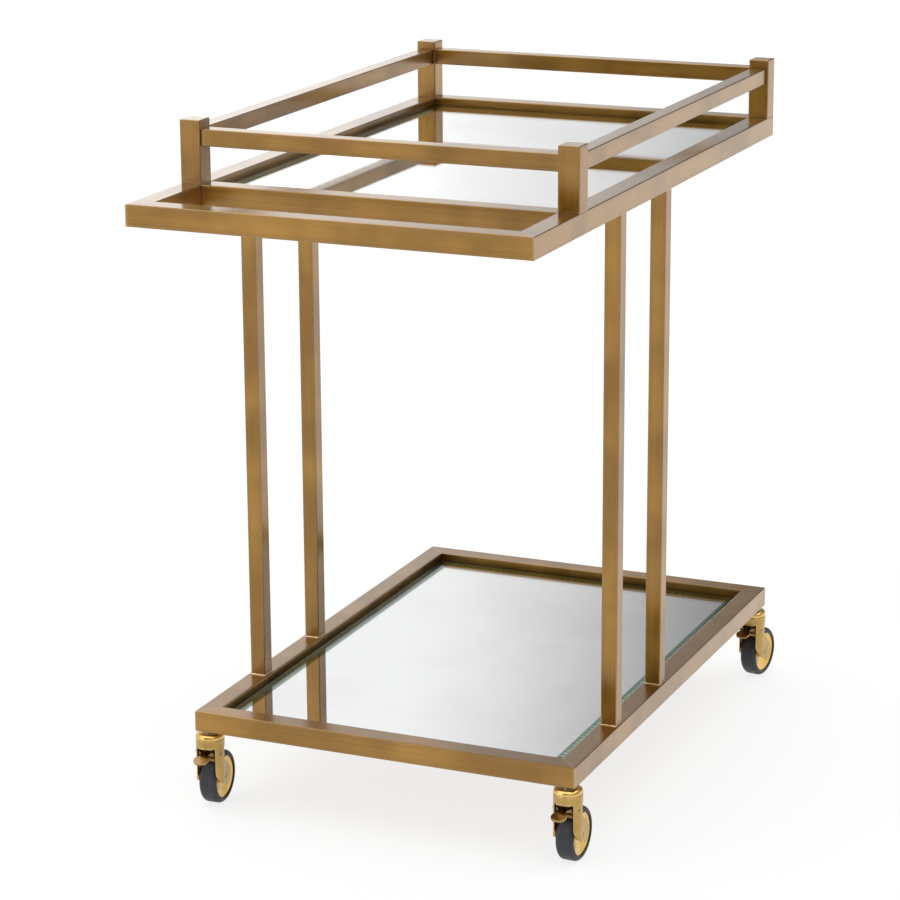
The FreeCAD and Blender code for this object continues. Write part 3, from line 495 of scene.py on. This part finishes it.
def brazedBrass():
    material, tree = newMaterial("brassBrazedFillet")
    place = addNode(tree, "ShaderNodeTexCoord").outputs["Object"]
    beads = addNode(tree, "ShaderNodeTexNoise", inputs={
        "Vector": place, "Scale": brazing["beadsPerMetre"], "Detail": 2.0}).outputs["Fac"]
    tone = addNode(tree, "ShaderNodeMapRange", smooth, [beads, 0.35, 0.65, 0.0, 1.0])
    colour = addNode(tree, "ShaderNodeMix", blend, {
        0: tone.outputs[0], 6: toLinear(brazing["dark"]), 7: toLinear(brazing["light"])})
    rough = addNode(tree, "ShaderNodeMapRange", smooth, [beads, 0.3, 0.7, 0.3, 0.5])
    shader = addNode(tree, "ShaderNodeBsdfPrincipled", inputs={
        "Base Color": colour.outputs[2], "Metallic": 1.0, "Roughness": rough.outputs[0]})
    addNode(tree, "ShaderNodeOutputMaterial", inputs={"Surface": shader.outputs[0]})
    return material


def filletRing(build, centre, half, z, up, seed):
    # a small hollow fillet that runs round a square column
    path = []
    side = 2 * half
    count = int(side / brazing["step"])
    for turn in range(4):
        angle = turn * math.pi / 2
        out = Vector((math.cos(angle), math.sin(angle), 0))
        run = Vector((-out.y, out.x, 0))
        for index in range(count):
            path.append((out * half + run * (side * index / count - half), out))
    rings = []
    for spot, out in path:
        here = Vector(centre) + spot
        lump = noise.noise(Vector((here.x, here.y, seed)) * brazing["lumpsPerMetre"])
        size = brazing["size"] * (1 + brazing["uneven"] * lump)
        ring = []
        for part in range(brazing["bends"] + 1):
            bend = math.pi / 2 * part / brazing["bends"]
            reach = Vector((size * (1 - math.sin(bend)), 0, size * (1 - math.cos(bend))))
            ring.append(build.verts.new((here.x + out.x * reach.x, here.y + out.y * reach.x, z + up * reach.z)))
        rings.append(ring)
    for index, ring in enumerate(rings):
        following = rings[(index + 1) % len(rings)]
        for part in range(brazing["bends"]):
            build.faces.new((ring[part], following[part], following[part + 1], ring[part + 1]))


def columnBrazing(name, material):
    low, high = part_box(name)
    half = (high[0] - low[0]) / 2
    middle = ((low[0] + high[0]) / 2, (low[1] + high[1]) / 2, 0)
    build = bmesh.new()
    # foot and head, each with its own lumps
    filletRing(build, middle, half, low[2], 1, 1.0)
    filletRing(build, middle, half, high[2], -1, 5.0)
    bmesh.ops.recalc_face_normals(build, faces=build.faces)
    mesh = bpy.data.meshes.new("brazing_" + name)
    build.to_mesh(mesh)
    build.free()
    mesh.polygons.foreach_set("use_smooth", [True] * len(mesh.polygons))
    return newPiece("brazing_" + name, mesh, material, "frame")


brazed = brazedBrass()
for name in grainOf[2]:
    if name.startswith("column"):
        columnBrazing(name, brazed)
print("silvering and brazing made")


# a studio with a white paper floor, and soft screens that leave dark gaps straight behind and in front
# angles in degrees; 0 is straight behind the trolley and positive is towards its right
studio = {
    "floorSize": 40,
    "floorCorners": 64,
    "floor": "#F4F4F3",
    "floorGlow": 0.80,              # how much of the floor's white is its own
    "fibresPerMetre": 900.0,        # paper fibre of about 1.1 mm
    "fibreDepth": 0.0002,
    "gap": 0.15,                    # brightness of the gaps and of everything between the screens
    "screens": [
        # left wall of cloth, whose inner side leans; then the lamp in front of it, the strip low at the back,
        # the high key over the left, the right wall, and a weak fill in front on the right
        {"azimuth": (-154, -16), "side": 4.5, "lean": 13, "low": -20, "high": 24, "fade": 8, "strength": 0.84},
        {"azimuth": (-154, -126), "side": 3, "lean": 0, "low": -20, "high": 36, "fade": 10, "strength": 1.3},
        {"azimuth": (-35, -22.5), "side": 3, "lean": 12, "low": -5, "high": 12, "fade": 4, "strength": 0.72},
        {"azimuth": (-130, -40), "side": 15, "lean": 0, "low": 30, "high": 58, "fade": 8, "strength": 0.75},
        {"azimuth": (21, 75), "side": 3, "lean": 0, "low": -20, "high": 18, "fade": 8, "strength": 0.85},
        {"azimuth": (85, 170), "side": 8, "lean": 0, "low": -20, "high": 55, "fade": 12, "strength": 0.35},
    ],
    "overhead": {"spread": 34, "edge": 16, "strength": 1.9},
}


def makeFloor():
    build = bmesh.new()
    half, count = studio["floorSize"] / 2, studio["floorCorners"]
    rim = [build.verts.new((half * math.cos(turn), half * math.sin(turn), 0))
           for turn in [math.tau * step / count for step in range(count)]]
    build.faces.new(rim)
    mesh = bpy.data.meshes.new("studio_floor")
    build.to_mesh(mesh)
    build.free()
    floor = bpy.data.objects.new("studio_floor", mesh)
    bpy.context.collection.objects.link(floor)
    material, tree = newMaterial("paperSweepMatt")
    place = addNode(tree, "ShaderNodeTexCoord").outputs["Object"]
    fibre = addNode(tree, "ShaderNodeTexNoise", inputs={
        "Vector": place, "Scale": studio["fibresPerMetre"], "Detail": 2.0})
    relief = addNode(tree, "ShaderNodeBump", inputs={
        "Strength": 0.05, "Distance": studio["fibreDepth"], "Height": fibre.outputs["Fac"]})
    paper = addNode(tree, "ShaderNodeBsdfDiffuse", inputs={
        "Color": toLinear(studio["floor"]), "Normal": relief.outputs[0]})
    white = addNode(tree, "ShaderNodeEmission", inputs={"Color": (1, 1, 1, 1), "Strength": 1.0})
    # the camera, the brass and the glass see the floor's own white
    path = addNode(tree, "ShaderNodeLightPath")
    seen = path.outputs["Is Camera Ray"]
    for ray in ("Is Glossy Ray", "Is Transmission Ray"):
        seen = addNode(tree, "ShaderNodeMath", {"operation": "MAXIMUM"}, [seen, path.outputs[ray]]).outputs[0]
    share = addNode(tree, "ShaderNodeMath", {"operation": "MULTIPLY"}, [seen, studio["floorGlow"]])
    both = addNode(tree, "ShaderNodeMixShader", inputs=[share.outputs[0], paper.outputs[0], white.outputs[0]])
    addNode(tree, "ShaderNodeOutputMaterial", inputs={"Surface": both.outputs[0]})
    mesh.materials.append(material)


def screenGlow(tree, azimuth, height, screen):
    # a screen's glow falls off softly over its sides, its foot and its top
    low, high = [math.radians(angle) for angle in screen["azimuth"]]
    side = math.radians(screen["side"])
    foot, top = [math.sin(math.radians(screen[name])) for name in ("low", "high")]
    fade = math.sin(math.radians(screen["high"] + screen["fade"])) - top
    # the lean draws the inner side back by so many degrees from the horizon to the zenith
    leaning = addNode(tree, "ShaderNodeMath", {"operation": "MULTIPLY_ADD"},
                      [height, math.radians(screen["lean"]), azimuth]).outputs[0]
    edges = [
        [azimuth, low - side, low + side, 0.0, 1.0],
        [leaning, high - side, high + side, 1.0, 0.0],
        [height, foot - fade, foot, 0.0, 1.0],
        [height, top, top + fade, 1.0, 0.0],
    ]
    glow = screen["strength"]
    for edge in edges:
        fall = addNode(tree, "ShaderNodeMapRange", smooth, edge).outputs[0]
        glow = addNode(tree, "ShaderNodeMath", {"operation": "MULTIPLY"}, [glow, fall]).outputs[0]
    return glow


def makeWorld():
    world = bpy.data.worlds.new("softStudio")
    world.use_nodes = True
    tree = world.node_tree
    tree.nodes.clear()
    way = addNode(tree, "ShaderNodeVectorMath", {"operation": "NORMALIZE"},
                  [addNode(tree, "ShaderNodeTexCoord").outputs["Generated"]])
    split = addNode(tree, "ShaderNodeSeparateXYZ", inputs=[way.outputs[0]])
    height = split.outputs["Z"]
    azimuth = addNode(tree, "ShaderNodeMath", {"operation": "ARCTAN2"},
                      [split.outputs["X"], split.outputs["Y"]]).outputs[0]
    box = studio["overhead"]
    outer, inner = [math.cos(math.radians(angle)) for angle in (box["spread"] + box["edge"], box["spread"])]
    glows = [addNode(tree, "ShaderNodeMapRange", smooth, [height, outer, inner, 0.0, box["strength"]]).outputs[0]]
    glows += [screenGlow(tree, azimuth, height, screen) for screen in studio["screens"]]
    total = studio["gap"]
    for glow in glows:
        total = addNode(tree, "ShaderNodeMath", {"operation": "ADD"}, [total, glow]).outputs[0]
    lit = addNode(tree, "ShaderNodeBackground", inputs={"Color": (1, 1, 1, 1), "Strength": total})
    addNode(tree, "ShaderNodeOutputWorld", inputs={"Surface": lit.outputs[0]})
    bpy.context.scene.world = world


# the photograph's viewpoint, for a square picture
viewpoint = {
    "place": (1.37667, -3.28263, 1.38408),
    "yaw": 23.37, "pitch": 15.691, "roll": 0.327,
    "lens": 123.02, "sensor": 36,
}


def makeCamera():
    data = bpy.data.cameras.new("viewpoint")
    data.lens = viewpoint["lens"]
    data.sensor_width = viewpoint["sensor"]
    camera = bpy.data.objects.new("viewpoint", data)
    bpy.context.collection.objects.link(camera)
    yaw, pitch, roll = [math.radians(viewpoint[name]) for name in ("yaw", "pitch", "roll")]
    camera.matrix_world = (Matrix.Translation(viewpoint["place"]) @ Matrix.Rotation(yaw, 4, "Z")
                           @ Matrix.Rotation(math.pi / 2 - pitch, 4, "X") @ Matrix.Rotation(-roll, 4, "Z"))
    bpy.context.scene.camera = camera


makeFloor()
makeWorld()
makeCamera()
bpy.context.scene.view_settings.view_transform = "Standard"
print("floor, light and camera set")
